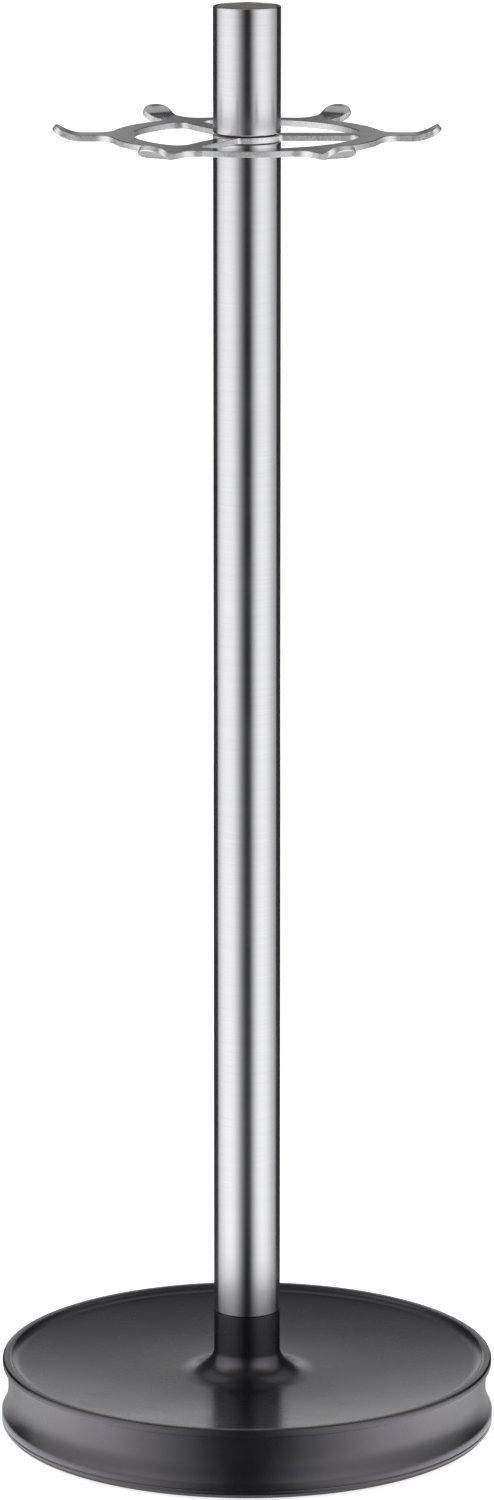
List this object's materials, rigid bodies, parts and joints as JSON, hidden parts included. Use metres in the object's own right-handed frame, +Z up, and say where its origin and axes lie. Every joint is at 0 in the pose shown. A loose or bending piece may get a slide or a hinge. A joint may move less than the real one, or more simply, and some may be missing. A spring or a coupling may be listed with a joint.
{
  "type": "kitchen utensil stand",
  "caption": "Free-standing utensil stand: weighted dish base, steel post and a turning ring of upturned hook fingers under a steel grip.",
  "frame": {"origin": "centre of the foot ring's underside, on the surface the stand rests on", "axes": "+Z up along the post; +X along one finger of the hook plate at rest"},
  "size_m": [0.1606, 0.1606, 0.465],
  "materials": {
    "black_moulding": "satin, finely grained",
    "cast_iron": "as cast, painted",
    "cover_plastic": "matt",
    "soft_foot": "matt, non-slip",
    "zinc_steel": "zinc plated",
    "brushed_tube": "satin brushed stainless",
    "plate_steel": "satin faces, polished edges",
    "natural_nylon": "natural white"
  },
  "bodies": {
    "stand": {"base_shell": "black_moulding", "ballast_ring": "cast_iron", "base_cover": "cover_plastic", "foot_ring": "soft_foot", "cover_screw_1": "zinc_steel", "cover_screw_2": "zinc_steel", "cover_screw_3": "zinc_steel", "cover_screw_4": "zinc_steel", "post_bolt": "zinc_steel", "bolt_spring_washer": "zinc_steel", "bolt_washer": "zinc_steel", "post_tube": "brushed_tube", "post_bottom_plug": "zinc_steel", "post_top_plug": "zinc_steel", "lower_slide_washer": "natural_nylon", "upper_slide_washer": "natural_nylon", "grip_tube": "brushed_tube", "grip_plug": "zinc_steel", "grip_stud": "zinc_steel", "grip_end_disc": "brushed_tube"},
    "carousel": {"hook_plate": "plate_steel", "hub_bush": "natural_nylon"}
  },
  "joints": [
    {"name": "plate_turn", "type": "hinge", "parent": "stand", "child": "carousel", "pos_m": [0, 0, 0.4237], "axis": [0, 0, 1], "continuous": true}
  ]
}
